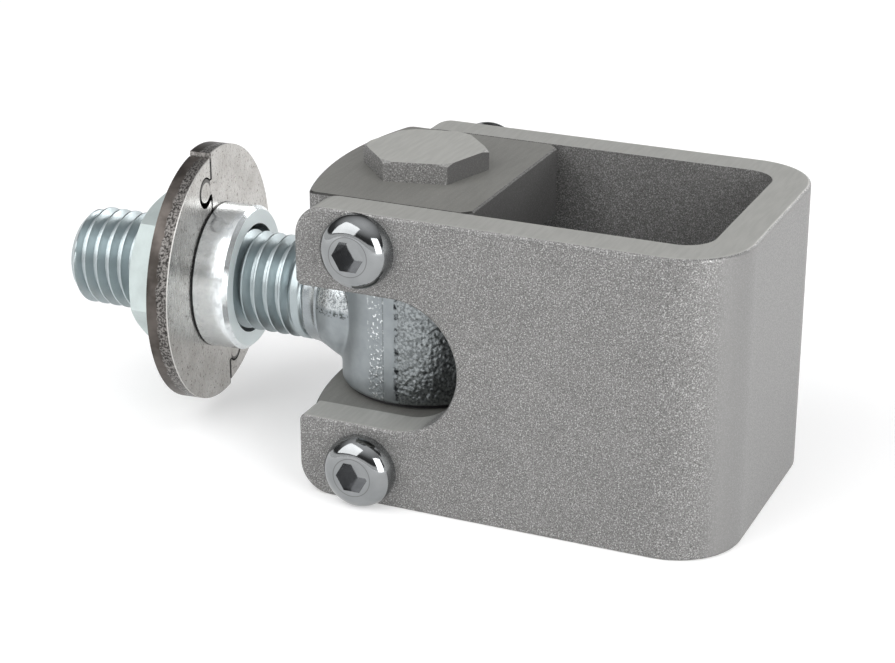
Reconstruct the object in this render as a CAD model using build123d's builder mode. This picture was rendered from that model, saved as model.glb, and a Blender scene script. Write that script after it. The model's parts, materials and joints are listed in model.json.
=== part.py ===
from build123d import *
import os
from math import cos, radians, sin, sqrt

# Adjustable gate hinge, in millimetres. The origin is on the swing axis at mid height.
# +X points to the gate tube, -X along the eye bolt to the post, +Z up.

os.makedirs("parts", exist_ok=True)

# Gate tube and the bent bracket that wraps it
tube_side = 40.0            # square gate tube
tube_clearance = 0.3        # between the tube and each ear
tube_offset = 16.8          # swing axis to the near face of the tube
wall = 6.5                  # thickness of the bent strip
ear_reach = 11.8            # ears run this far past the swing axis
bend_inside_radius = 5.2
ear_corner_radius = 5.5
bracket_edge_radius = 0.6
notch_height = 23.5         # side notch that the eye bolt swings through
notch_overrun = 0.4         # notch ends this far past the near face of the tube
notch_mouth_radius = 1.2

# Jaws: two blocks clamped between the ears, above and below the eye
jaw_height = 12.6
jaw_nose_reach = 15.8       # swing axis to the crown of the nose
jaw_nose_radius = 60.0
jaw_corner_radius = 1.6
jaw_tube_chamfer = 1.6
jaw_edge_chamfer = 0.3      # along the upper and lower faces

# Button head screws through the ears into the jaws
screw_diameter = 8.0
screw_length = 16.0
screw_head_diameter = 12.5
screw_head_height = 4.2
screw_head_rim = 0.5        # straight rim below the dome
screw_dome_bulge = 1.0      # dome stands this far out of its chord
screw_crown_diameter = 6.8  # flat round the socket
screw_socket = 5.0          # across flats
screw_socket_depth = 2.7
screw_tip_chamfer = 0.8
tapped_hole_extra = 1.5     # hole depth past the screw's tip
screw_hole_clearance = 0.4  # radial, where the screw passes an ear

# Pivot: thin headed bolt, clamped sleeve, captive lock nut
pivot_diameter = 12.0
pivot_hex_wall = 3.5         # bolt's side to a flat of its head or nut
pivot_head_height = 3.5
pivot_face_share = 1.07     # over its flats: only the head's corners are bevelled
pivot_head_turn = 13.0      # degrees, as it was left after tightening
pivot_nut_height = 6.0
pivot_nut_recess = 0.5      # nut lies this far inside the lower jaw's face
pivot_insert_height = 1.8
pivot_insert_wall = 1.6
pivot_tip_inset = 0.3       # bolt's end inside the lower jaw's face
pivot_tip_chamfer = 1.0
sleeve_wall = 2.0
bush_wall = 2.0
bush_spacing = 3.6          # grease space between the two bushes
thrust_washer_thickness = 0.5
thrust_washer_diameter = 28.0

# Eye bolt: forged eye on a threaded shank
eye_wall = 5.0              # outside the bushes
eye_height = 25.6
eye_edge_chamfer = 0.9
shank_diameter = 18.0
shank_end = 68.5            # swing axis to the free end
shank_tip_chamfer = 1.5
neck_end_reach = 20.2       # swing axis to where the neck meets the shank
neck_root_inset = 1.2       # neck's widest part, short of the eye's faces
neck_root_reach = 12.4

# Nut, split washer and collar on the shank
nut_wall = 4.5              # thread to a flat
nut_height = 6.5
nut_left_turn = -12.0       # degrees, as it was left
nut_bore_chamfer = 0.8
washer_play = 1.3           # radial, round the shank
washer_width = 12.7         # bore to rim
washer_thickness = 4.0
washer_face_reach = 41.2    # swing axis to the washer's face on the gate side
stack_lean = 5.2            # degrees: washer and collar hang loose and lean on the shank
seam_offset = 2.6           # seam to the washer's centre line
seam_gap = 0.3
half_rise = 0.8             # rear half sits this much higher along the seam
knob_radius = 2.3
knob_reach = 2.5            # seam to the knob's centre
knob_neck_width = 3.0
collar_play = 0.95          # radial, round the shank
collar_wall = 3.25
collar_length = 6.7
collar_chamfer = 0.7
collar_foot_chamfer = 0.3   # at the washer

# Fits
running_fit = 0.05          # radial, between turning or screwed pairs
seat_fit = 0.1              # between flat faces that only lie side by side
hex_fit = 0.2               # captive nut in its pocket
hex_face_share = 0.94       # face circle of a hexagon over its flats
cut_margin = 2.0            # how far a cut runs past a face

# Worked out from the dimensions above
channel_width = tube_side + 2 * tube_clearance
bracket_width = channel_width + 2 * wall
web_inside = tube_offset + tube_side
web_outside = web_inside + wall
eye_half_height = eye_height / 2
neck_root_radius = eye_half_height - neck_root_inset
half_gap = eye_half_height + thrust_washer_thickness + seat_fit
half_height = half_gap + jaw_height
bracket_height = 2 * half_height
notch_radius = notch_height / 2
notch_centre = tube_offset + notch_overrun - notch_radius
jaw_half_width = channel_width / 2
nose_corner = sqrt(jaw_nose_radius**2 - jaw_half_width**2) - jaw_nose_radius + jaw_nose_reach
screw_height = half_gap + jaw_height / 2
screw_radius = screw_diameter / 2
pivot_radius = pivot_diameter / 2
pivot_across_flats = pivot_diameter + 2 * pivot_hex_wall
sleeve_inner_radius = pivot_radius + running_fit
sleeve_radius = sleeve_inner_radius + sleeve_wall
bush_inner_radius = sleeve_radius + running_fit
bush_outer_radius = bush_inner_radius + bush_wall
bush_length = (eye_height - bush_spacing) / 2
pocket_depth = pivot_nut_height + pivot_insert_height + pivot_nut_recess
eye_radius = bush_outer_radius + eye_wall
shank_radius = shank_diameter / 2
washer_bore_radius = shank_radius + washer_play
washer_radius = washer_bore_radius + washer_width
knob_height = washer_bore_radius + washer_width / 2
collar_bore_radius = shank_radius + collar_play
collar_radius = collar_bore_radius + collar_wall
nut_across_flats = shank_diameter + 2 * nut_wall
nut_seat_radius = nut_across_flats / 2 * hex_face_share
lean_cos = cos(radians(stack_lean))
lean_sin = sin(radians(stack_lean))
washer_back_reach = washer_face_reach + washer_thickness * lean_cos
nut_face_reach = washer_back_reach + nut_seat_radius * lean_sin + seat_fit

# Washer and collar are drawn on the washer's face, the nut on its own inner face
stack_plane = Plane(
    origin=(-washer_face_reach, 0, 0),
    x_dir=(-lean_sin, lean_cos, 0),
    z_dir=(lean_cos, lean_sin, 0),
)
nut_plane = Plane(origin=(-nut_face_reach, 0, 0), x_dir=(0, 1, 0), z_dir=(-1, 0, 0))


def finish(piece, label):
    """Names a piece and writes it."""
    piece.label = label
    export_step(piece, f"parts/{label}.step")


def turning_plane(base):
    """The plane that holds a base plane's normal: radius across, height along."""
    return Plane(origin=base.origin, x_dir=base.x_dir, z_dir=-base.y_dir)


def turning_axis(base):
    return Axis(base.origin, base.z_dir)


def hexagon_block(base, across_flats, height, both_faces, turn=0, face_share=hex_face_share):
    """A hexagonal block whose corners are turned off conically, as on a nut."""
    corner = across_flats / sqrt(3)
    face = across_flats / 2 * face_share
    drop = (corner - face) / sqrt(3)
    foot = [(face, 0), (corner, drop)] if both_faces else [(corner, 0)]
    with BuildPart() as block:
        with BuildSketch(base):
            RegularPolygon(across_flats / 2, 6, major_radius=False, rotation=turn)
        extrude(amount=height)
        with BuildSketch(turning_plane(base)):
            with BuildLine():
                Polyline(
                    (0, 0),
                    *foot,
                    (corner, height - drop),
                    (face, height),
                    (0, height),
                    close=True,
                )
            make_face()
        revolve(axis=turning_axis(base), mode=Mode.INTERSECT)
    return block.part


# Bracket: one strip bent round the tube, its two ears notched for the eye bolt
with BuildPart() as u_bracket:
    with BuildSketch(Plane.XY.offset(-half_height)):
        with Locations(((web_outside - ear_reach) / 2, 0)):
            Rectangle(web_outside + ear_reach, bracket_width)
        fillet(vertices().group_by(Axis.X)[-1], bend_inside_radius + wall)
        with Locations(((web_inside - ear_reach) / 2, 0)):
            Rectangle(web_inside + ear_reach, channel_width, mode=Mode.SUBTRACT)
        inner_corners = vertices().filter_by_position(
            Axis.X, web_inside - seat_fit, web_inside + seat_fit
        )
        fillet(inner_corners, bend_inside_radius)
    extrude(amount=bracket_height)
    fillet(edges().filter_by(Axis.Y).group_by(Axis.X)[0], ear_corner_radius)
    with BuildSketch(Plane.XZ):
        with Locations(((notch_centre - ear_reach - cut_margin) / 2, 0)):
            Rectangle(notch_centre + ear_reach + cut_margin, notch_height)
        with Locations((notch_centre, 0)):
            Circle(notch_radius)
    extrude(amount=bracket_width, both=True, mode=Mode.SUBTRACT)
    mouth_corners = edges().filter_by(Axis.Y).group_by(Axis.X)[0]
    fillet(mouth_corners, notch_mouth_radius)
    with BuildSketch(Plane.XZ):
        with Locations((0, screw_height), (0, -screw_height)):
            Circle(screw_radius + screw_hole_clearance)
    extrude(amount=bracket_width, both=True, mode=Mode.SUBTRACT)
    ear_faces = faces().filter_by(Axis.Y).sort_by(Axis.Y)
    ear_rims = ear_faces[0].outer_wire().edges() + ear_faces[-1].outer_wire().edges()
    fillet(ear_rims, bracket_edge_radius)
finish(u_bracket.part, "u_bracket")


def jaw(side):
    """One clamp block; side is 1 above the eye and -1 below it."""
    foot = half_gap if side > 0 else -half_height
    with BuildPart() as block:
        with BuildSketch(Plane.XY.offset(foot)):
            with BuildLine():
                ThreePointArc(
                    (-nose_corner, jaw_half_width),
                    (-jaw_nose_reach, 0),
                    (-nose_corner, -jaw_half_width),
                )
                Polyline(
                    (-nose_corner, -jaw_half_width),
                    (tube_offset, -jaw_half_width),
                    (tube_offset, jaw_half_width),
                    (-nose_corner, jaw_half_width),
                )
            make_face()
            chamfer(vertices().group_by(Axis.X)[-1], jaw_tube_chamfer)
            fillet(vertices().group_by(Axis.X)[0], jaw_corner_radius)
            Circle(pivot_radius + running_fit, mode=Mode.SUBTRACT)
        extrude(amount=jaw_height)
        for face in faces().filter_by(Axis.Z):
            chamfer(face.outer_wire().edges(), jaw_edge_chamfer)
        for out in (1, -1):
            mouth = Plane(
                origin=(0, out * jaw_half_width, side * screw_height),
                x_dir=(1, 0, 0),
                z_dir=(0, out, 0),
            )
            with BuildSketch(mouth):
                Circle(screw_radius + running_fit)
            extrude(amount=wall - screw_length - tapped_hole_extra, mode=Mode.SUBTRACT)
        if side < 0:
            with BuildSketch(Plane.XY.offset(-half_height)):
                RegularPolygon(pivot_across_flats / 2 + hex_fit, 6, major_radius=False)
            extrude(amount=pocket_depth, mode=Mode.SUBTRACT)
    return block.part


finish(jaw(1), "upper_jaw")
finish(jaw(-1), "lower_jaw")


def button_screw(out, side):
    """Button head screw: out is 1 on the rear ear and -1 on the front one."""
    seat = Plane(
        origin=(0, out * bracket_width / 2, side * screw_height),
        x_dir=(1, 0, 0),
        z_dir=(0, out, 0),
    )
    rim = (screw_head_diameter / 2, screw_head_rim)
    crown = (screw_crown_diameter / 2, screw_head_height)
    with BuildPart() as screw:
        with BuildSketch(turning_plane(seat)):
            with BuildLine():
                Polyline((0, screw_head_height), (0, 0), (rim[0], 0), rim)
                SagittaArc(rim, crown, -screw_dome_bulge)
                Line(crown, (0, screw_head_height))
            make_face()
        revolve(axis=turning_axis(seat))
        with BuildSketch(seat.offset(screw_head_height)):
            RegularPolygon(screw_socket / 2, 6, major_radius=False)
        extrude(amount=-screw_socket_depth, mode=Mode.SUBTRACT)
        with BuildSketch(turning_plane(seat)):
            with BuildLine():
                Polyline(
                    (0, 0),
                    (screw_radius, 0),
                    (screw_radius, screw_tip_chamfer - screw_length),
                    (screw_radius - screw_tip_chamfer, -screw_length),
                    (0, -screw_length),
                    close=True,
                )
            make_face()
        revolve(axis=turning_axis(seat))
    return screw.part


for out, ear in ((-1, "front"), (1, "rear")):
    for side, level in ((1, "upper"), (-1, "lower")):
        finish(button_screw(out, side), f"{ear}_{level}_screw")

# Pivot bolt: thin head on the upper jaw, plain shank down through the eye
pivot_head = hexagon_block(
    Plane.XY.offset(half_height),
    pivot_across_flats,
    pivot_head_height,
    both_faces=False,
    turn=pivot_head_turn,
    face_share=pivot_face_share,
)
with BuildPart() as pivot_bolt:
    add(pivot_head)
    with BuildSketch(Plane.XY.offset(pivot_tip_inset - half_height)):
        Circle(pivot_radius)
    extrude(amount=bracket_height - pivot_tip_inset)
    chamfer(edges().filter_by(GeomType.CIRCLE).sort_by(Axis.Z)[0], pivot_tip_chamfer)
finish(pivot_bolt.part, "pivot_bolt")

# Captive nut in the lower jaw, and the ring in its crown that grips the bolt
pivot_nut_base = Plane.XY.offset(pivot_nut_recess - half_height)
pivot_nut_block = hexagon_block(
    pivot_nut_base, pivot_across_flats, pivot_nut_height + pivot_insert_height, both_faces=True
)
with BuildPart() as pivot_nut:
    add(pivot_nut_block)
    with BuildSketch(pivot_nut_base):
        Circle(pivot_radius + running_fit)
    extrude(amount=pocket_depth, mode=Mode.SUBTRACT)
    with BuildSketch(pivot_nut_base):
        Circle(pivot_radius + pivot_insert_wall)
    extrude(amount=pivot_insert_height, mode=Mode.SUBTRACT)
finish(pivot_nut.part, "pivot_nut")

with BuildPart() as pivot_nut_ring:
    with BuildSketch(pivot_nut_base):
        Circle(pivot_radius + pivot_insert_wall - running_fit)
        Circle(pivot_radius + running_fit, mode=Mode.SUBTRACT)
    extrude(amount=pivot_insert_height)
finish(pivot_nut_ring.part, "pivot_nut_ring")

# Sleeve that the jaws clamp, so that tightening the bolt never pinches the eye
with BuildPart() as pivot_sleeve:
    with BuildSketch(Plane.XY.offset(-half_gap)):
        Circle(sleeve_radius)
        Circle(sleeve_inner_radius, mode=Mode.SUBTRACT)
    extrude(amount=2 * half_gap)
finish(pivot_sleeve.part, "pivot_sleeve")

# Bearing bushes in the eye and thrust washers on its two faces
for side, level in ((1, "upper"), (-1, "lower")):
    with BuildPart() as bush:
        with BuildSketch(Plane.XY.offset(side * eye_half_height)):
            Circle(bush_outer_radius)
            Circle(bush_inner_radius, mode=Mode.SUBTRACT)
        extrude(amount=-side * bush_length)
    finish(bush.part, f"{level}_bush")
    with BuildPart() as thrust_washer:
        with BuildSketch(Plane.XY.offset(side * eye_half_height)):
            Circle(thrust_washer_diameter / 2)
            Circle(bush_inner_radius, mode=Mode.SUBTRACT)
        extrude(amount=side * thrust_washer_thickness)
    finish(thrust_washer.part, f"{level}_thrust_washer")

# Eye bolt: upright eye, flared neck and shank turned about the X axis
shank_plane = Plane(origin=(0, 0, 0), x_dir=(0, 0, 1), z_dir=(-1, 0, 0))
with BuildPart() as eye_bolt:
    with BuildSketch(Plane.XY.offset(-eye_half_height)):
        Circle(eye_radius)
    extrude(amount=eye_height)
    chamfer(edges().filter_by(GeomType.CIRCLE), eye_edge_chamfer)
    with BuildSketch(turning_plane(shank_plane)):
        with BuildLine():
            Spline(
                (neck_root_radius, neck_root_reach),
                (shank_radius, neck_end_reach),
                tangents=((0, 1), (0, 1)),
            )
            Polyline(
                (shank_radius, neck_end_reach),
                (shank_radius, shank_end - shank_tip_chamfer),
                (shank_radius - shank_tip_chamfer, shank_end),
                (0, shank_end),
                (0, 0),
                (neck_root_radius, 0),
                (neck_root_radius, neck_root_reach),
            )
        make_face()
    revolve(axis=turning_axis(shank_plane))
    with BuildSketch(Plane.XY.offset(-half_height)):
        Circle(bush_outer_radius)
    extrude(amount=bracket_height, mode=Mode.SUBTRACT)
finish(eye_bolt.part, "eye_bolt")


def washer_half(out):
    """Half of the split washer, out as for the screws: its knob hooks into the other half."""
    middle = stack_plane.origin + Vector(0, 0, half_rise if out > 0 else 0)
    base = Plane(middle, x_dir=stack_plane.x_dir * -out, z_dir=stack_plane.z_dir)
    seam = seam_offset + seam_gap / 2
    inner_seam = seam_offset - seam_gap / 2
    span = 2 * washer_radius
    with BuildPart() as half:
        with BuildSketch(base):
            Circle(washer_radius)
            with Locations((washer_radius - seam, washer_radius)):
                Rectangle(span, span, mode=Mode.SUBTRACT)
            with Locations((washer_radius + inner_seam, -washer_radius)):
                Rectangle(span, span, mode=Mode.SUBTRACT)
            with Locations((-seam_offset - knob_reach, knob_height + half_rise / 2)):
                SlotCenterToCenter(half_rise, 2 * knob_radius + seam_gap, 90, mode=Mode.SUBTRACT)
            with Locations((-seam_offset - knob_reach / 2, knob_height + half_rise / 2)):
                Rectangle(
                    knob_reach, knob_neck_width + half_rise + seam_gap, mode=Mode.SUBTRACT
                )
            with Locations((seam_offset + knob_reach, -knob_height)):
                Circle(knob_radius - seam_gap / 2)
            with Locations((seam_offset + knob_reach / 2, -knob_height)):
                Rectangle(knob_reach + seam_gap, knob_neck_width - seam_gap)
            Circle(washer_bore_radius, mode=Mode.SUBTRACT)
        extrude(amount=-washer_thickness)
    return half.part


finish(washer_half(-1), "split_washer_front")
finish(washer_half(1), "split_washer_rear")

with BuildPart() as collar:
    with BuildSketch(stack_plane):
        Circle(collar_radius)
        Circle(collar_bore_radius, mode=Mode.SUBTRACT)
    extrude(amount=collar_length)
    collar_rims = edges().filter_by(GeomType.CIRCLE).group_by(Axis.X)
    chamfer(collar_rims[-1], collar_chamfer)
    chamfer(collar_rims[0], collar_foot_chamfer)
finish(collar.part, "collar")

# Thin hex nut behind the washer
post_nut_block = hexagon_block(
    nut_plane, nut_across_flats, nut_height, both_faces=True, turn=nut_left_turn
)
with BuildPart() as post_nut:
    add(post_nut_block)
    with BuildSketch(nut_plane):
        Circle(shank_radius + running_fit)
    extrude(amount=nut_height, mode=Mode.SUBTRACT)
    nut_mouths = edges().filter_by(GeomType.CIRCLE).sort_by(SortBy.LENGTH)
    chamfer(nut_mouths[0:2], nut_bore_chamfer)
finish(post_nut.part, "post_nut")
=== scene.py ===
import json
import math

import bmesh
import bpy
import numpy as np
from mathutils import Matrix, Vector, noise


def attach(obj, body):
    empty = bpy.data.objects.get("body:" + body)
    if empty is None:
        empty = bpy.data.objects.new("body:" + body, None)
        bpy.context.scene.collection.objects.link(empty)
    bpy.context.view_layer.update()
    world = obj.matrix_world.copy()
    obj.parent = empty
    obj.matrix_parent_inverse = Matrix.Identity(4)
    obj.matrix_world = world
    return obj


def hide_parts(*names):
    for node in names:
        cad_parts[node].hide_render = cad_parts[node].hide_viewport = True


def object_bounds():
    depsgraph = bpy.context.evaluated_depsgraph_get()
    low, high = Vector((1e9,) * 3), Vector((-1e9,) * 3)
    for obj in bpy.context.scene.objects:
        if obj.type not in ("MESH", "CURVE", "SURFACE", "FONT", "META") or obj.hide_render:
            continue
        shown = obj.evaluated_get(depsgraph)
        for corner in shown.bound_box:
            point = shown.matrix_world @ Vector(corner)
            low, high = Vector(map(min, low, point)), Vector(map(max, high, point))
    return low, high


# Adjustable gate hinge. Lengths are in millimetres unless a name says otherwise; the
# meshes themselves are in metres, as the frame is.

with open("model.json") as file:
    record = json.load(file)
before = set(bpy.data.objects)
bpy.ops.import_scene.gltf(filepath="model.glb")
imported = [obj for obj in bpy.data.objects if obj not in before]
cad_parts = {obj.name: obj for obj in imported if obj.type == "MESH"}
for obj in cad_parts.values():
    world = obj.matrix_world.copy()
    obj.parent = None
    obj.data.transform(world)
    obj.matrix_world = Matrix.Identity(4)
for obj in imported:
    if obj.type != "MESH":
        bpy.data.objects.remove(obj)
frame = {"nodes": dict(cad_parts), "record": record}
cad_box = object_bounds()

MM = 0.001

# Shank, neck and eye, as in the frame
SHANK_RADIUS = 9.0
SHANK_END = 68.5
SHANK_TIP_CHAMFER = 1.6
THREAD_PITCH = 2.5
THREAD_DEPTH = 1.45
THREAD_START = 22.4          # the first thread, past the neck's ring
THREAD_RUNOUT = 1.4
THREAD_CREST_HALF = 0.0625   # half widths of crest and root, as shares of the pitch
THREAD_ROOT_HALF = 0.10
THREAD_PHASES = (0.0, 0.1, 0.19, 0.28, 0.37, 0.4375, 0.5, 0.5625, 0.63, 0.72, 0.81, 0.9)
THREAD_COLUMNS = 144
SHANK_ROOT = 19.0            # where the shank starts inside the neck
CREST_INSET = 0.02           # crests stay this far inside the frame's shank
GROOVE_REACH = 20.5          # groove between the neck and its ring
GROOVE_DEPTH = 0.5
GROOVE_HALF_WIDTH = 0.3
EYE_RADIUS = 15.1
EYE_HALF_HEIGHT = 12.8
EYE_BORE_RADIUS = 10.1
EYE_ROUND = 1.0
VOXEL, QUICK_VOXEL = 0.22, 0.5    # of the eye's skin
NECK_RADIUS = 11.6
NECK_FLARE_START = 12.4
NECK_END = 20.2
NECK_STEPS = 13
NECK_TAIL = 0.3              # the neck ends this far inside the shank, and this much thinner
NECK_TAIL_INSET = 0.6
BEAD_REACH = 17.1            # groove between the neck's bead and its flare

# Forging marks on the eye, by their place along X
FLASH_LEFT, FLASH_RIGHT = -1.5, 0.7
FLASH_HEIGHT = 0.10
TEAR_PLACE = 1.1             # torn line beside the flash
DENTS_LEFT = -4.6
NECK_CRINKLE = (-16.8, -9.8)
SKIN_INSET = 0.12            # keeps the marks inside the frame's eye
MARK_GRAINS = (0.35, 0.8, 1.6, 2.4)  # noise per millimetre: broad, dents, pits and fine
BROAD_LIFT = 0.05
DENT_DEPTH = 0.15
DIMPLE_LIFTS = (0.04, 0.12, 0.09)    # of dents, pits and fine, past the torn line
BEAD_DEPTH, BEAD_WIDTH = 0.16, 0.22
TEAR_DEPTH, TEAR_WIDTH = 0.30, 0.3

# Washer and collar lean together on the shank
STACK_REACH = 41.2
STACK_LEAN = 5.2             # degrees
WASHER_RADIUS = 23.0
COLLAR_RADIUS = 13.2
SEAM_OFFSET = 2.6            # seam to the washer's centre line
SEAM_RISE = 0.3              # the seam's middle height
SEAM_SHADE_HALF_WIDTH = 0.4              # half width of the painted shade along the seam
KNOB_PLACE = 5.1             # knob's centre to the washer's centre line
KNOB_HEIGHT = 16.75          # and to the seam's middle height
KNOB_RADIUS = 2.3
KNOB_NECK = 1.7
RIM_DEPTH = 2.0              # the rim's faces lie within this of the radius

# Heads of the screws
SCREW_HEIGHT = 19.7
CROWN_RADIUS = 3.4
EAR_FACE = 20.0
SOCKET_REACH = 2.9

# Camera
CAMERA_PLACE = (153.5, -339.9, 147.4)
CAMERA_YAW = 23.74           # degrees
CAMERA_PITCH = 22.19
FOCAL_PIXELS = 2278.6
IMAGE_WIDTH = 895
SENSOR = 36.0
CLIP_START, CLIP_END = 0.01, 50.0    # metres

# Softboxes: place, target, width, height, and power in watts
SOFTBOXES = {
    "key": ((-425, -540, 580), (0, 0, 0), 860, 860, 5.6),
    "side": ((600, -330, 200), (20, 0, 0), 420, 520, 4.0),
    "back": ((330, 780, 340), (0, 0, 0), 520, 300, 2.4),
}

# Floor and world. They are lifted to white only where the camera, a reflection or a clear
# body looks at them, so they light the object plainly.
FLOOR_SIZE = 6000.0
FLOOR_COLOUR = (0.80, 0.80, 0.80)
FLOOR_LIFT, FAR_FLOOR_LIFT = 0.28, 0.75
FLOOR_FAR = (250, 1200)      # from the middle, where the lift grows

# Grey of the sky by height, from straight down at 0 to straight up at 1. The dark belt above
# the horizon gives metal its bands. Up to the belt the sky is white, as the floor is.
SKY = (
    (0.0, 0.55), (0.50, 0.60), (0.583, 0.60), (0.605, 0.06),
    (0.73, 0.10), (0.84, 0.45), (1.0, 0.95),
)
SKY_BLUE = 1.01
WHITE_BELOW = 0.5825

# Colours; a pair holds the two ends of a mix
PAINT = (0.209, 0.207, 0.204)
FLECK_BRIGHT = (0.47, 0.466, 0.456)
FLECK_DARK = (0.107, 0.105, 0.101)
BRACKET_CUT = (0.47, 0.47, 0.447)    # paint that looks up or down
JAW_CUT = (0.275, 0.273, 0.256)
HEAD_CUT = (0.53, 0.53, 0.503)
# Painted shade in the jaws' bevels, where they meet the ears
JAW_BEVEL_SHADE = (0.03, 0.03, 0.028)
PALE_ZINC = (0.61, 0.685, 0.676)
THREAD_ZINC = (0.44, 0.495, 0.51)
COLLAR_SIDE = (0.76, 0.80, 0.82), (0.90, 0.94, 0.955)
COLLAR_END = (0.86, 0.935, 0.94)
# Painted shade where the collar meets the washer
COLLAR_FOOT_SHADE = (0.03, 0.032, 0.034)
WASHER_FACE = (0.42, 0.404, 0.382), (0.53, 0.517, 0.495)
WASHER_PIT = (0.15, 0.135, 0.12)
# Painted shade on the washer around the collar's foot
WASHER_FOOT_SHADE = (0.02, 0.02, 0.02)
# Painted shade along the washer's seam
SEAM_SHADE = (0.03, 0.028, 0.026)
RIM_SHEARED = (0.054, 0.047, 0.042), (0.120, 0.106, 0.097)
RIM_TORN = (0.036, 0.033, 0.031), (0.28, 0.267, 0.255)
# Painted highlight along the rim's lip
RIM_LIP_HIGHLIGHT = (0.60, 0.59, 0.57)
# Painted shade inside the washer's seam
WALL_SHADE = (0.012, 0.012, 0.012)
WALL_BARE = (0.20, 0.19, 0.18), (0.50, 0.48, 0.46)
FORGED_SATIN = (0.295, 0.322, 0.336), (0.345, 0.373, 0.387)
FORGED_DIMPLED = (0.17, 0.185, 0.19), (0.35, 0.376, 0.385)
FORGED_CRINKLE = (0.25, 0.27, 0.28), (0.52, 0.55, 0.56)
# Painted shade in the torn line's crack
FORGED_TEAR_SHADE = (0.03, 0.033, 0.035)
# Painted shade along the flash's trimmed edge
FORGED_TRIM_SHADE = (0.10, 0.11, 0.115)
# Painted glints on the dents
FORGED_PAINTED_GLINT = (0.80, 0.83, 0.84)
FORGED_SPOT = (0.08, 0.09, 0.09)
SCREW_STEEL = (0.27, 0.28, 0.285), (0.31, 0.32, 0.325)
# Painted shade line at the screw's crown edge
SCREW_CROWN_SHADE = (0.06, 0.06, 0.062)
# Socket walls: painted a little darker, as shade in the socket
SOCKET_SHADE_STEEL = (0.20, 0.20, 0.208)
NYLON = (0.78, 0.76, 0.70)
BRONZE = (0.50, 0.36, 0.20)
BEARING_PLASTIC = (0.03, 0.03, 0.033)

stack_normal = Vector(
    (math.cos(math.radians(STACK_LEAN)), math.sin(math.radians(STACK_LEAN)), 0)
)
stack_origin = Vector((-STACK_REACH, 0, 0))


def mesh_object(name, vertices, faces):
    """A mesh from vertices in millimetres."""
    mesh = bpy.data.meshes.new(name)
    mesh.from_pydata([tuple(v) for v in np.asarray(vertices) * MM], [], faces)
    mesh.update()
    obj = bpy.data.objects.new(name, mesh)
    bpy.context.scene.collection.objects.link(obj)
    return obj


def clean(obj, weld, thin, close=False):
    """Welds doubled points, drops what has no area, closes the holes if asked, and turns all
    faces outwards. Points nearer than weld and edges shorter than thin go, in millimetres."""
    bm = bmesh.new()
    bm.from_mesh(obj.data)
    bmesh.ops.remove_doubles(bm, verts=bm.verts, dist=weld * MM)
    bmesh.ops.dissolve_degenerate(bm, dist=thin * MM, edges=bm.edges)
    if close:
        loose = [v for v in bm.verts if not v.link_faces]
        bmesh.ops.delete(bm, geom=loose, context="VERTS")
        bmesh.ops.holes_fill(bm, edges=[e for e in bm.edges if e.is_boundary], sides=0)
    bmesh.ops.recalc_face_normals(bm, faces=bm.faces)
    bm.to_mesh(obj.data)
    bm.free()


def shade(obj, angle=None):
    """Smooth, with edges sharper than angle degrees kept."""
    obj.data.polygons.foreach_set("use_smooth", [True] * len(obj.data.polygons))
    if angle is not None:
        obj.data.set_sharp_from_angle(angle=math.radians(angle))


def lathe(name, profile, direction, steps=128, closed=False):
    """A turned piece: profile is (radius, distance) along direction from the origin."""
    axis = Vector(direction).normalized()
    across = Vector((0, 0, 1)) if abs(axis.z) < 0.5 else Vector((1, 0, 0))
    side = axis.cross(across)
    vertices = []
    for radius, along in profile:
        for k in range(steps):
            turn = 2 * math.pi * k / steps
            vertices.append(
                axis * along + (across * math.cos(turn) + side * math.sin(turn)) * radius
            )
    faces = []
    rings = len(profile)
    for i in range(rings if closed else rings - 1):
        for k in range(steps):
            a, b = i * steps + k, i * steps + (k + 1) % steps
            above = (i + 1) % rings * steps
            faces.append((a, b, above + (k + 1) % steps, above + k))
    if not closed:
        faces.append(tuple(range(steps))[::-1])
        faces.append(tuple((rings - 1) * steps + k for k in range(steps)))
    obj = mesh_object(name, vertices, faces)
    clean(obj, weld=0.002, thin=0.001)
    return obj


def combine(obj, other, operation):
    """Boolean of two objects; the second one goes."""
    modifier = obj.modifiers.new("boolean", "BOOLEAN")
    modifier.operation = operation
    modifier.object = other
    modifier.solver = "EXACT"
    apply_modifiers(obj)
    bpy.data.objects.remove(other)


def apply_modifiers(obj):
    graph = bpy.context.evaluated_depsgraph_get()
    mesh = bpy.data.meshes.new_from_object(obj.evaluated_get(graph))
    obj.modifiers.clear()
    obj.data = mesh


def bell(value, centre, width):
    return np.exp(-(((value - centre) / width) ** 2))


def ramp(value, start, width):
    """Rises from 0 at start to 1 after width."""
    return np.clip((value - start) / width, 0, 1)


# Materials


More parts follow.
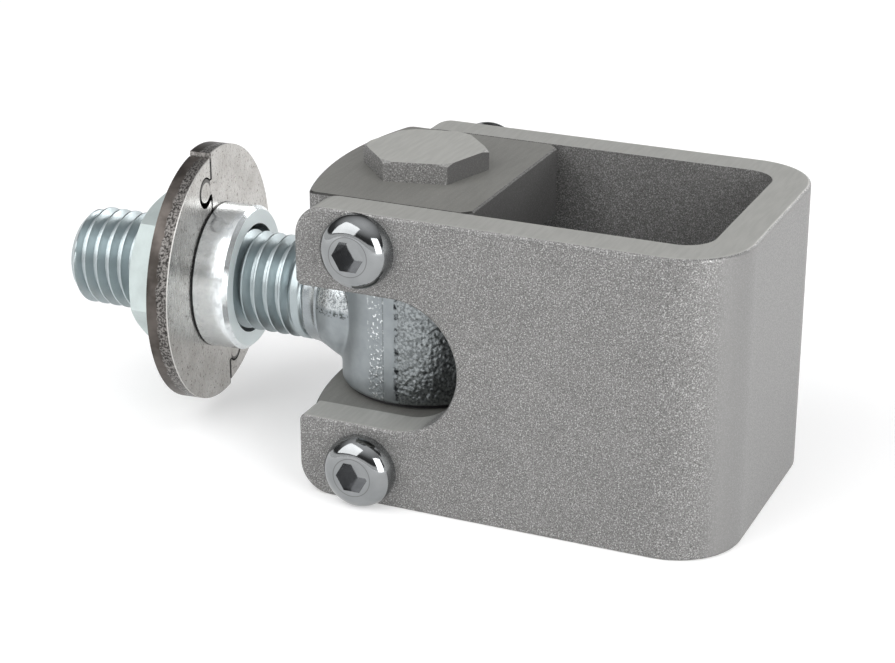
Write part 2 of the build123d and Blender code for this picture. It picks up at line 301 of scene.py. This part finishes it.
class Nodes:
    """A node material in the making."""

    def __init__(self, name):
        self.material = bpy.data.materials.new(name)
        self.material.use_nodes = True
        self.tree = self.material.node_tree
        self.shader = self.tree.nodes["Principled BSDF"]
        coordinates = self.add("ShaderNodeTexCoord")
        self.place = coordinates.outputs["Object"]
        self.normal = coordinates.outputs["Normal"]

    def add(self, kind, **values):
        node = self.tree.nodes.new(kind)
        for key, value in values.items():
            setattr(node, key, value)
        return node

    def put(self, value, socket):
        """Links a socket, or sets a constant."""
        if isinstance(value, bpy.types.NodeSocket):
            self.tree.links.new(value, socket)
        elif isinstance(value, tuple) and socket.type == "RGBA":
            socket.default_value = (*value, 1)
        else:
            socket.default_value = value

    def maths(self, operation, a, b=0.0):
        node = self.add("ShaderNodeMath", operation=operation)
        self.put(a, node.inputs[0])
        self.put(b, node.inputs[1])
        return node.outputs[0]

    def along(self, direction, source=None, origin=(0, 0, 0)):
        """Distance along a direction: in millimetres for places, plain for normals."""
        scale = 1.0 if source is self.normal else 1 / MM
        moved = self.add("ShaderNodeVectorMath", operation="SUBTRACT")
        self.put(source or self.place, moved.inputs[0])
        moved.inputs[1].default_value = tuple(c * MM for c in origin)
        node = self.add("ShaderNodeVectorMath", operation="DOT_PRODUCT")
        self.put(moved.outputs["Vector"], node.inputs[0])
        node.inputs[1].default_value = tuple(c * scale for c in direction)
        return node.outputs["Value"]

    def radius(self, axis, origin):
        """Distance in millimetres from a line along axis through origin."""
        moved = self.add("ShaderNodeVectorMath", operation="SUBTRACT")
        self.put(self.place, moved.inputs[0])
        moved.inputs[1].default_value = tuple(c * MM for c in origin)
        across = self.add("ShaderNodeVectorMath", operation="CROSS_PRODUCT")
        self.put(moved.outputs["Vector"], across.inputs[0])
        across.inputs[1].default_value = tuple(c / MM for c in axis)
        node = self.add("ShaderNodeVectorMath", operation="LENGTH")
        self.put(across.outputs["Vector"], node.inputs[0])
        return node.outputs["Value"]

    def step(self, value, low, high):
        """Goes smoothly from 0 at low to 1 at high."""
        node = self.add("ShaderNodeMapRange", interpolation_type="SMOOTHSTEP")
        self.put(value, node.inputs["Value"])
        node.inputs["From Min"].default_value = low
        node.inputs["From Max"].default_value = high
        return node.outputs["Result"]

    def band(self, value, low, high, soft):
        rise = self.step(value, low - soft, low + soft)
        return self.maths("MULTIPLY", rise, self.step(value, high + soft, high - soft))

    def noise(self, size, detail=3.0, rough=0.55, stretch=None):
        """Noise whose grains are about size millimetres across."""
        node = self.add("ShaderNodeTexNoise")
        node.inputs["Scale"].default_value = 1 / (size * MM)
        node.inputs["Detail"].default_value = detail
        node.inputs["Roughness"].default_value = rough
        place = self.place
        if stretch:
            mapping = self.add("ShaderNodeMapping")
            mapping.inputs["Scale"].default_value = stretch
            self.put(place, mapping.inputs["Vector"])
            place = mapping.outputs["Vector"]
        self.put(place, node.inputs["Vector"])
        return node.outputs["Fac"]

    def mix(self, factor, a, b):
        """From a to b; colours are tuples or sockets."""
        node = self.add("ShaderNodeMix", data_type="RGBA")
        self.put(factor, node.inputs[0])
        self.put(a, node.inputs[6])
        self.put(b, node.inputs[7])
        return node.outputs[2]

    def between(self, factor, a, b):
        """From number a to number b."""
        node = self.add("ShaderNodeMix", data_type="FLOAT")
        self.put(factor, node.inputs[0])
        self.put(a, node.inputs[2])
        self.put(b, node.inputs[3])
        return node.outputs[0]

    def bump(self, height, depth, before=None, strength=1.0):
        """Bump whose full height is depth millimetres, laid over another one."""
        node = self.add("ShaderNodeBump")
        self.put(strength, node.inputs["Strength"])
        node.inputs["Distance"].default_value = depth * MM
        self.put(height, node.inputs["Height"])
        if before is not None:
            self.put(before, node.inputs["Normal"])
        return node.outputs["Normal"]

    def finish(self, colour, roughness, bump=None, metallic=1.0):
        self.put(colour, self.shader.inputs["Base Color"])
        self.put(roughness, self.shader.inputs["Roughness"])
        self.put(metallic, self.shader.inputs["Metallic"])
        if bump is not None:
            self.put(bump, self.shader.inputs["Normal"])
        return self.material


def silver_paint(name, side, cut, bevel_shade=None, side_light_share=0.6):
    """Flecked; smooth on the side that looks along +X, where the colour is scaled by a share
    that paints light on that side above 1 and shade below 1; in the colour cut where it looks up
    or down; the colour given for the bevels is painted shade there."""
    n = Nodes(name)
    slope = n.maths("ABSOLUTE", n.along((0, 0, 1), n.normal))
    flat = n.step(slope, 0.80, 0.97)
    back = n.step(n.along((1, 0, 0), n.normal), 0.55, 0.85)
    grain = n.noise(0.22, detail=2.0, rough=0.6)
    cloud = n.noise(8.0, detail=3.0)
    brushed = n.noise(0.7, detail=3.0, stretch=(1.0, 0.12, 1.0))
    base = n.mix(n.step(cloud, 0.3, 0.7), tuple(c * 0.9 for c in side), side)
    flecked = n.mix(n.step(grain, 0.53, 0.68), base, FLECK_BRIGHT)
    flecked = n.mix(n.step(grain, 0.46, 0.34), flecked, FLECK_DARK)
    smooth = n.mix(n.step(brushed, 0.3, 0.7), tuple(c * 0.9 for c in cut), cut)
    smooth = n.mix(n.maths("MULTIPLY", n.step(grain, 0.55, 0.70), 0.25), smooth, FLECK_BRIGHT)
    # The +X side's colour scaled by the share: painted light on the bracket, painted shade on
    # the jaws and the head
    side_light_colour = tuple(c * side_light_share for c in side)
    colour = n.mix(n.maths("MULTIPLY", back, 0.85), flecked, n.mix(back, base, side_light_colour))
    colour = n.mix(flat, colour, smooth)
    # Painted shade in the bevels
    if bevel_shade is not None:
        colour = n.mix(n.band(slope, 0.55, 0.85, 0.06), colour, bevel_shade)
    roughness = n.between(flat, n.between(n.step(grain, 0.35, 0.65), 0.55, 0.40), 0.50)
    strength = n.between(n.maths("MAXIMUM", flat, back), 1.0, 0.3)
    return n.finish(colour, roughness, n.bump(grain, 0.03, strength=strength), metallic=0.5)


def zinc(name, tint, rough, grain=0.6, depth=0.012, metallic=1.0):
    """Plated steel: a cloudy tint over a fine grain."""
    n = Nodes(name)
    cloud = n.noise(4.0, detail=4.0)
    fine = n.noise(grain, detail=3.0)
    colour = n.mix(n.step(cloud, 0.3, 0.7), tuple(c * 0.88 for c in tint), tint)
    roughness = n.between(n.step(fine, 0.35, 0.65), rough, rough * 1.35)
    return n.finish(colour, roughness, n.bump(fine, depth), metallic=metallic)


def turned_zinc():
    """Collar: bright turned side, pale matt ends, and painted shade at its foot against the
    washer.
    """
    n = Nodes("turned_zinc")
    end = n.step(n.maths("ABSOLUTE", n.along(stack_normal, n.normal)), 0.80, 0.95)
    rings = n.noise(0.25, detail=2.0, stretch=(1.0, 0.1, 0.1))
    spots = n.noise(1.4, detail=4.0)
    colour = n.mix(n.step(spots, 0.36, 0.52), *COLLAR_SIDE)
    colour = n.mix(end, colour, COLLAR_END)
    # Painted shade at the collar's foot, where it meets the washer
    foot_shade = n.step(n.along(stack_normal, origin=stack_origin), 0.40, 0.30)
    colour = n.mix(foot_shade, colour, COLLAR_FOOT_SHADE)
    roughness = n.between(end, n.between(n.step(spots, 0.35, 0.6), 0.26, 0.15), 0.42)
    metallic = n.between(end, 0.8, 0.2)
    return n.finish(colour, roughness, n.bump(rings, 0.008), metallic=metallic)


def seam_shade_mask(n):
    """1 where shade is painted along the washer's seam: two straight runs and the round of the
    knob between them.
    The lower seam is the upper one turned by half a turn, so both are drawn as one."""
    z = n.along((0, 0, 1))
    across = n.along((-stack_normal.y, stack_normal.x, 0), origin=stack_origin)
    across = n.maths("MULTIPLY", across, n.maths("SIGN", z))
    height = n.maths("ABSOLUTE", n.maths("SUBTRACT", z, SEAM_RISE))
    from_knob = n.maths("ABSOLUTE", n.maths("SUBTRACT", height, KNOB_HEIGHT))
    beside = n.maths("ADD", across, SEAM_OFFSET)
    runs = n.maths(
        "MULTIPLY",
        n.band(beside, -SEAM_SHADE_HALF_WIDTH, SEAM_SHADE_HALF_WIDTH, 0.1),
        n.step(from_knob, KNOB_NECK - 0.1, KNOB_NECK + 0.1),
    )
    to_knob = n.maths("ADD", across, KNOB_PLACE)
    reach = n.maths("ADD", n.maths("POWER", to_knob, 2), n.maths("POWER", from_knob, 2))
    ring = n.band(n.maths("SQRT", reach), KNOB_RADIUS - SEAM_SHADE_HALF_WIDTH, KNOB_RADIUS + SEAM_SHADE_HALF_WIDTH, 0.1)
    ring = n.maths("MULTIPLY", ring, n.step(to_knob, 2.0, 1.8))
    return n.maths("MAXIMUM", runs, ring)


def ground_steel():
    """Washer faces: ground, with dark pits, painted shade around the collar's foot and painted
    shade along the seam; the punched rim has a material of its own.
    """
    n = Nodes("ground_steel")
    pits = n.noise(0.55, detail=3.0, rough=0.7)
    cloud = n.noise(6.0, detail=3.0)
    lay = n.noise(0.3, detail=2.0, stretch=(1.0, 1.0, 0.15))
    base = n.mix(n.step(cloud, 0.3, 0.7), *WASHER_FACE)
    colour = n.mix(n.step(pits, 0.43, 0.33), base, WASHER_PIT)
    # Painted shade on the washer around the collar's foot
    from_axis = n.radius(stack_normal, stack_origin)
    foot_shade = n.band(from_axis, COLLAR_RADIUS - 0.9, COLLAR_RADIUS + 0.05, 0.1)
    colour = n.mix(foot_shade, colour, WASHER_FOOT_SHADE)
    # Painted shade along the seam
    colour = n.mix(n.maths("MULTIPLY", seam_shade_mask(n), 0.85), colour, SEAM_SHADE)
    roughness = n.between(n.step(lay, 0.3, 0.7), 0.22, 0.32)
    return n.finish(colour, roughness, n.bump(lay, 0.006), metallic=0.95)


def punched_rim():
    """Washer rim: a sheared brown band at the back, a torn and glittering one in front, and a
    painted highlight along the lip at the face.
    """
    n = Nodes("punched_rim")
    depth = n.along(stack_normal, origin=stack_origin)
    wander = n.maths("MULTIPLY", n.noise(2.0), 1.6)
    torn = n.step(n.maths("ADD", depth, wander), -1.45, -1.05)
    grain = n.noise(0.45, detail=4.0, rough=0.75)
    cloud = n.noise(5.0, detail=3.0)
    sheared = n.mix(n.step(cloud, 0.35, 0.65), *RIM_SHEARED)
    glittering = n.mix(n.step(grain, 0.42, 0.6), *RIM_TORN)
    colour = n.mix(torn, sheared, glittering)
    # Painted highlight along the lip where the rim meets the face
    lip_highlight = n.step(depth, -0.30, -0.14)
    colour = n.mix(lip_highlight, colour, RIM_LIP_HIGHLIGHT)
    roughness = n.between(torn, 0.42, 0.34)
    strength = n.between(torn, 0.25, 1.0)
    return n.finish(colour, roughness, n.bump(grain, 0.16, strength=strength), metallic=0.9)


def shaded_seam_wall():
    """Walls of the washer's seam: painted shade inside, bare where they reach the rim."""
    n = Nodes("shaded_seam_wall")
    grain = n.noise(0.45, detail=4.0, rough=0.75)
    bare = n.mix(n.step(grain, 0.42, 0.6), *WALL_BARE)
    rim = n.step(n.radius(stack_normal, stack_origin), WASHER_RADIUS - 0.9, WASHER_RADIUS - 0.5)
    colour = n.mix(rim, WALL_SHADE, bare)
    return n.finish(colour, 0.45, n.bump(grain, 0.03), metallic=0.9)


def forged_zinc():
    """Eye and neck: satin on the left, dented before the flash with painted glints on the dents,
    dimpled all over past it, with painted shade in the torn line and along the flash's trimmed
    edge.
    """
    n = Nodes("forged_zinc")
    x = n.along((1, 0, 0))
    z = n.along((0, 0, 1))
    wander = n.maths("MULTIPLY", n.noise(1.2, detail=3.0), 1.2)
    edge = n.maths("ADD", x, wander)
    rough_side = n.step(edge, TEAR_PLACE + 0.3, TEAR_PLACE + 0.9)
    # Painted shade in the torn line's crack
    tear_shade = n.band(edge, TEAR_PLACE + 0.2, TEAR_PLACE + 0.9, 0.15)
    tear_shade = n.maths("MULTIPLY", tear_shade, n.step(n.noise(1.7, detail=3.0), 0.44, 0.54))
    dented = n.band(x, DENTS_LEFT, FLASH_LEFT, 0.4)
    neck_top = n.band(x, NECK_CRINKLE[0], NECK_CRINKLE[1], 0.25)
    fringe = n.maths("MULTIPLY", neck_top, n.band(z, 0.1, 1.1, 0.3))
    neck_top = n.maths("MULTIPLY", neck_top, n.step(z, 0.9, 1.7))
    worms = n.noise(0.45, detail=2.5, rough=0.6)
    dents = n.noise(0.55, detail=2.0, rough=0.5)
    cloud = n.noise(3.0, detail=4.0)
    base = n.mix(n.step(cloud, 0.3, 0.7), *FORGED_SATIN)
    dimpled = n.mix(n.step(worms, 0.38, 0.64), *FORGED_DIMPLED)
    colour = n.mix(rough_side, base, dimpled)
    colour = n.mix(tear_shade, colour, FORGED_TEAR_SHADE)
    # Painted shade along the flash's trimmed edge
    trimmed_edge_shade = n.maths("MULTIPLY", n.band(x, FLASH_LEFT - 0.12, FLASH_LEFT + 0.12, 0.1), 0.5)
    colour = n.mix(trimmed_edge_shade, colour, FORGED_TRIM_SHADE)
    # Painted glints on the dents before the flash
    painted_glints = n.maths("MULTIPLY", dented, n.step(dents, 0.58, 0.66))
    colour = n.mix(painted_glints, colour, FORGED_PAINTED_GLINT)
    crinkle = n.mix(n.step(worms, 0.38, 0.54), *FORGED_CRINKLE)
    colour = n.mix(neck_top, colour, crinkle)
    spots = n.maths("MULTIPLY", fringe, n.step(worms, 0.50, 0.42))
    colour = n.mix(spots, colour, FORGED_SPOT)
    bead = n.step(x, -BEAD_REACH + 0.1, -BEAD_REACH - 0.1)
    shiny = n.maths("MULTIPLY", rough_side, 0.7)
    shiny = n.maths("MAXIMUM", shiny, n.maths("MAXIMUM", painted_glints, neck_top))
    shiny = n.maths("MAXIMUM", shiny, bead)
    roughness = n.between(shiny, 0.46, 0.24)
    strength = n.maths("MAXIMUM", rough_side, n.maths("MULTIPLY", neck_top, 0.7))
    bump = n.bump(worms, 0.10, strength=strength)
    bump = n.bump(dents, 0.20, before=bump, strength=dented)
    return n.finish(colour, roughness, bump)


def polished_screw():
    """Button heads, with a fine painted shade line where the flat crown meets the dome."""
    n = Nodes("polished_screw")
    cloud = n.noise(4.0, detail=4.0)
    height = n.maths("SUBTRACT", n.maths("ABSOLUTE", n.along((0, 0, 1))), SCREW_HEIGHT)
    squares = [n.maths("POWER", distance, 2) for distance in (n.along((1, 0, 0)), height)]
    from_axis = n.maths("SQRT", n.maths("ADD", *squares))
    crown_edge_shade = n.band(from_axis, CROWN_RADIUS - 0.06, CROWN_RADIUS + 0.06, 0.06)
    colour = n.mix(n.step(cloud, 0.3, 0.7), *SCREW_STEEL)
    colour = n.mix(n.maths("MULTIPLY", crown_edge_shade, 0.6), colour, SCREW_CROWN_SHADE)
    return n.finish(colour, 0.09, n.bump(n.noise(1.5), 0.01))


def plain(name, colour, roughness, metallic, grain, depth):
    """One colour, a little uneven."""
    n = Nodes(name)
    fine = n.noise(grain)
    uneven = n.mix(n.step(fine, 0.3, 0.7), tuple(c * 0.8 for c in colour), colour)
    return n.finish(uneven, roughness, n.bump(fine, depth), metallic)


materials = {
    # The bracket's +X side is painted lighter, as painted light
    "silver_paint": silver_paint("silver_flake_paint", PAINT, BRACKET_CUT, side_light_share=1.21),
    "zinc_plate": zinc("pale_zinc", PALE_ZINC, 0.40, metallic=0.5),
    "zinc_forging": forged_zinc(),
    "bare_steel": ground_steel(),
    "bright_screw": polished_screw(),
    "nylon": plain("natural_nylon", NYLON, 0.5, 0.0, 1.0, 0.02),
    "bronze": plain("sintered_bronze", BRONZE, 0.45, 1.0, 0.4, 0.03),
    "bearing_plastic": plain("bearing_plastic", BEARING_PLASTIC, 0.5, 0.0, 0.5, 0.02),
}
own_materials = {
    # The jaws and the head are painted darker on their +X side, as painted shade; the jaws also
    # get painted shade in their bevels
    "upper_jaw": silver_paint("jaw_paint", PAINT, JAW_CUT, bevel_shade=JAW_BEVEL_SHADE),
    "pivot_bolt": silver_paint("head_paint", PAINT, HEAD_CUT),
    "collar": turned_zinc(),
}
own_materials["lower_jaw"] = own_materials["upper_jaw"]
thread_zinc = zinc("thread_zinc", THREAD_ZINC, 0.30, grain=0.4, depth=0.015)
rim_steel = punched_rim()
seam_shade_steel = shaded_seam_wall()
# Socket walls: rougher steel, painted a little darker as shade in the socket
shaded_screw_socket = plain("socket_shade_steel", SOCKET_SHADE_STEEL, 0.18, 1.0, 0.8, 0.02)

slots = {entry["node"]: entry["material_slot"] for entry in frame["record"]["subparts"]}
for node, obj in frame["nodes"].items():
    obj.data.materials.clear()
    obj.data.materials.append(own_materials.get(node, materials[slots[node]]))


def dress_washer(mesh):
    """Gives the rim, and the seam's walls with their painted shade, their own materials."""
    mesh.materials.append(rim_steel)
    mesh.materials.append(seam_shade_steel)
    for polygon in mesh.polygons:
        spoke = polygon.center / MM - stack_origin
        spoke -= stack_normal * spoke.dot(stack_normal)
        outward = polygon.normal.dot(spoke.normalized()) > 0.9
        if outward and spoke.length > WASHER_RADIUS - RIM_DEPTH:
            polygon.material_index = 1
        elif abs(polygon.normal.dot(stack_normal)) < 0.5:
            polygon.material_index = 2


def dress_screw(mesh):
    """Gives the walls of the socket, which face the screw's axis, their own material: rougher
    steel, painted a little darker as shade in the socket.
    """
    mesh.materials.append(shaded_screw_socket)
    corners = [v.co / MM for v in mesh.vertices]
    centre_x = (min(c.x for c in corners) + max(c.x for c in corners)) / 2
    centre_z = (min(c.z for c in corners) + max(c.z for c in corners)) / 2
    for polygon in mesh.polygons:
        place = polygon.center / MM
        spoke = Vector((place.x - centre_x, 0, place.z - centre_z))
        inward = polygon.normal.dot(spoke) < -0.5
        if inward and abs(place.y) > EAR_FACE and spoke.length < SOCKET_REACH:
            polygon.material_index = 1


for node in ("split_washer_front", "split_washer_rear"):
    dress_washer(frame["nodes"][node].data)
for node in ("front_upper_screw", "front_lower_screw", "rear_upper_screw", "rear_lower_screw"):
    dress_screw(frame["nodes"][node].data)


def thread_cut(phase):
    """How deep the thread is cut, from 0 on its flat crest to 1 in its flat root, with flanks
    at 60 degrees to each other between them."""
    away = np.abs(phase - 0.5)
    return 1 - ramp(-away, THREAD_ROOT_HALF - 0.5, 0.5 - THREAD_CREST_HALF - THREAD_ROOT_HALF)


def threaded_rod(name, start, end, crest):
    """The plain ring past the neck, then the thread, which runs out towards it: a strip
    wound along the helix, so that its edges follow the crests."""
    turns = int((end - start) / THREAD_PITCH) + 3
    phases = np.array(THREAD_PHASES)
    rows = np.concatenate([phases + t for t in range(-1, turns)]) * THREAD_PITCH + start
    column = np.arange(THREAD_COLUMNS) / THREAD_COLUMNS
    along = np.clip(rows[:, None] + column * THREAD_PITCH, start, end)
    phase = ((along - start) / THREAD_PITCH - column) % 1.0
    runout = ramp(along, THREAD_START, THREAD_RUNOUT)
    radius = crest - THREAD_DEPTH * thread_cut(phase) * runout
    radius -= GROOVE_DEPTH * bell(along, GROOVE_REACH, GROOVE_HALF_WIDTH)
    radius = np.minimum(radius, crest - SHANK_TIP_CHAMFER + (end - along))
    turn = 2 * math.pi * column
    vertices = np.stack([-along, radius * np.sin(turn), radius * np.cos(turn)], -1)
    count, columns = along.shape
    faces = []
    for i in range(count - 1):
        for k in range(columns):
            # The last column meets the first one of the next turn
            j, right = (i, k + 1) if k + 1 < columns else (i + len(phases), 0)
            if j + 1 < count:
                near, far = j * columns + right, (j + 1) * columns + right
                faces.append((i * columns + k, near, far, (i + 1) * columns + k))
    obj = mesh_object(name, vertices.reshape(-1, 3), faces)
    clean(obj, weld=0.0005, thin=0.0005, close=True)
    return obj


shank = threaded_rod("threaded_shank", SHANK_ROOT, SHANK_END, SHANK_RADIUS - CREST_INSET)
shade(shank, 35)
shank.data.materials.append(thread_zinc)
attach(shank, "eye_bolt")
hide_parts("eye_bolt")


def eye_section():
    """Half section of the eye: the bore's wall, then the outside with its rounded edges."""
    section = [(EYE_BORE_RADIUS, -EYE_HALF_HEIGHT), (EYE_BORE_RADIUS, EYE_HALF_HEIGHT)]
    for side, turns in ((1, (90, 60, 30, 0)), (-1, (0, 30, 60, 90))):
        for angle in map(math.radians, turns):
            radius = EYE_RADIUS - EYE_ROUND * (1 - math.cos(angle))
            height = EYE_HALF_HEIGHT - EYE_ROUND * (1 - math.sin(angle))
            section.append((radius, side * height))
    return section


def neck_section():
    """Half section of the neck, which flares on an S-shaped curve."""
    section = [(NECK_RADIUS, NECK_FLARE_START / 2)]
    for share in np.linspace(0, 1, NECK_STEPS):
        fall = share * share * (3 - 2 * share)
        radius = NECK_RADIUS + (SHANK_RADIUS - NECK_RADIUS) * fall
        section.append((radius, NECK_FLARE_START + (NECK_END - NECK_FLARE_START) * share))
    tail = NECK_END + NECK_TAIL
    return section + [(SHANK_RADIUS - NECK_TAIL_INSET, tail), (SHANK_RADIUS / 2, tail)]


def forged_eye():
    """Eye and neck, remeshed as one skin."""
    bore = [(EYE_BORE_RADIUS, -EYE_RADIUS), (EYE_BORE_RADIUS, EYE_RADIUS)]
    obj = lathe("forged_eye", eye_section(), (0, 0, 1), closed=True)
    combine(obj, lathe("neck", neck_section(), (-1, 0, 0)), "UNION")
    combine(obj, lathe("bore", bore, (0, 0, 1)), "DIFFERENCE")
    skin = obj.modifiers.new("skin", "REMESH")
    skin.mode = "VOXEL"
    skin.voxel_size = VOXEL * MM
    blend = obj.modifiers.new("blend", "SMOOTH")
    blend.factor = 0.5
    blend.iterations = 8
    apply_modifiers(obj)
    return obj


def mark_forging(obj):
    """A trimmed flash line, a torn line beside it, and dimples past them."""
    mesh = obj.data
    count = len(mesh.vertices)
    place, normal = np.empty(count * 3), np.empty(count * 3)
    mesh.vertices.foreach_get("co", place)
    mesh.vertex_normals.foreach_get("vector", normal)
    place, normal = place.reshape(-1, 3) / MM, normal.reshape(-1, 3)
    x, y, z = place.T
    # Only the outer skin is marked: not the bore, the end faces or the neck's tail
    skin = ramp(np.hypot(x, y), EYE_RADIUS - 1.0, 0.8)
    skin *= ramp(-np.abs(z), 0.3 - EYE_HALF_HEIGHT, 0.8)
    skin *= ramp(x, 0.5 - NECK_END, 1.5)
    waves = np.zeros((count, len(MARK_GRAINS)))
    for i in np.nonzero(skin > 0)[0]:
        p = Vector(place[i])
        waves[i] = [noise.noise(p * grain) for grain in MARK_GRAINS]
    broad, dents, pits, fine = waves.T
    rough_side = ramp(x + 1.2 * pits, TEAR_PLACE, 0.8)
    dented = ramp(x, DENTS_LEFT, 1.0) * ramp(-x, -FLASH_LEFT, 0.3)
    flash = ramp(x, FLASH_LEFT, 0.25) * ramp(-x, -FLASH_RIGHT, 0.25)
    torn = bell(x, TEAR_PLACE + 0.5 * dents, TEAR_WIDTH) * np.clip(0.4 + 2 * pits, 0, 1)
    lift = BROAD_LIFT * broad + FLASH_HEIGHT * flash
    lift -= DENT_DEPTH * dented * np.maximum(0, dents - 0.1)
    lift += rough_side * np.dot(DIMPLE_LIFTS, (dents, pits, fine))
    lift -= BEAD_DEPTH * bell(x, -BEAD_REACH, BEAD_WIDTH)
    lift -= TEAR_DEPTH * torn
    place += normal * ((lift - SKIN_INSET) * skin)[:, None]
    mesh.vertices.foreach_set("co", (place * MM).ravel())
    mesh.update()


forging = forged_eye()
mark_forging(forging)
shade(forging)
forging.data.materials.clear()
forging.data.materials.append(materials["zinc_forging"])
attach(forging, "eye_bolt")
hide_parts("eye_bolt")


def background_rays(tree):
    """1 for camera, glossy and transmission rays, 0 for the light on the object."""
    path = tree.nodes.new("ShaderNodeLightPath")
    most = path.outputs["Is Camera Ray"]
    for kind in ("Is Glossy Ray", "Is Transmission Ray"):
        node = tree.nodes.new("ShaderNodeMath")
        node.operation = "MAXIMUM"
        tree.links.new(most, node.inputs[0])
        tree.links.new(path.outputs[kind], node.inputs[1])
        most = node.outputs[0]
    return most


def pale_floor():
    """Matt and pale, with a lift to white that doesn't light the object."""
    n = Nodes("pale_floor")
    n.finish(FLOOR_COLOUR, 0.9, metallic=0.0)
    n.shader.inputs["Specular IOR Level"].default_value = 0.0
    lift = n.add("ShaderNodeEmission")
    far = n.step(n.radius((0, 0, 1), (0, 0, 0)), *FLOOR_FAR)
    strength = n.between(far, FLOOR_LIFT, FAR_FLOOR_LIFT)
    n.put(n.maths("MULTIPLY", background_rays(n.tree), strength), lift.inputs["Strength"])
    both = n.add("ShaderNodeAddShader")
    n.put(n.shader.outputs[0], both.inputs[0])
    n.put(lift.outputs[0], both.inputs[1])
    n.put(both.outputs[0], n.tree.nodes["Material Output"].inputs["Surface"])
    return n.material


half, level = FLOOR_SIZE / 2, cad_box[0].z / MM
floor = mesh_object(
    "floor",
    [(-half, -half, level), (half, -half, level), (half, half, level), (-half, half, level)],
    [(0, 1, 2, 3)],
)
floor.data.materials.append(pale_floor())


def studio_world():
    """The sky by height, and white below the belt for background rays."""
    world = bpy.data.worlds.new("studio")
    world.use_nodes = True
    tree = world.node_tree
    direction = tree.nodes.new("ShaderNodeTexCoord")
    split = tree.nodes.new("ShaderNodeSeparateXYZ")
    tree.links.new(direction.outputs["Generated"], split.inputs[0])
    height = tree.nodes.new("ShaderNodeMapRange")
    height.inputs["From Min"].default_value = -1.0
    tree.links.new(split.outputs["Z"], height.inputs["Value"])
    sky = tree.nodes.new("ShaderNodeValToRGB")
    tree.links.new(height.outputs["Result"], sky.inputs["Fac"])
    while len(sky.color_ramp.elements) < len(SKY):
        sky.color_ramp.elements.new(0.5)
    for element, (position, value) in zip(sky.color_ramp.elements, SKY):
        element.position = position
        element.color = (value, value, value * SKY_BLUE, 1)
    low = tree.nodes.new("ShaderNodeMath")
    low.operation = "LESS_THAN"
    low.inputs[1].default_value = WHITE_BELOW
    tree.links.new(height.outputs["Result"], low.inputs[0])
    share = tree.nodes.new("ShaderNodeMath")
    share.operation = "MULTIPLY"
    tree.links.new(low.outputs[0], share.inputs[0])
    tree.links.new(background_rays(tree), share.inputs[1])
    white = tree.nodes.new("ShaderNodeMix")
    white.data_type = "RGBA"
    white.inputs[7].default_value = (1, 1, 1, 1)
    tree.links.new(share.outputs[0], white.inputs[0])
    tree.links.new(sky.outputs["Color"], white.inputs[6])
    tree.links.new(white.outputs[2], tree.nodes["Background"].inputs["Color"])
    return world


bpy.context.scene.world = studio_world()


def softbox(name, place, target, width, height, power):
    """A rectangular lamp at a place, turned to its target."""
    light = bpy.data.lights.new(name, "AREA")
    light.shape = "RECTANGLE"
    light.size, light.size_y = width * MM, height * MM
    light.energy = power
    obj = bpy.data.objects.new(name, light)
    bpy.context.scene.collection.objects.link(obj)
    obj.location = Vector(place) * MM
    obj.rotation_euler = (Vector(target) * MM - obj.location).to_track_quat("-Z", "Y").to_euler()


for name, values in SOFTBOXES.items():
    softbox(name, *values)

camera = bpy.data.objects.new("camera", bpy.data.cameras.new("camera"))
bpy.context.scene.collection.objects.link(camera)
camera.location = Vector(CAMERA_PLACE) * MM
camera.rotation_euler = (math.radians(90 - CAMERA_PITCH), 0, math.radians(CAMERA_YAW))
camera.data.sensor_width = SENSOR
camera.data.lens = FOCAL_PIXELS / IMAGE_WIDTH * SENSOR
camera.data.clip_start, camera.data.clip_end = CLIP_START, CLIP_END
bpy.context.scene.camera = camera

bpy.context.scene.view_settings.view_transform = "Standard"
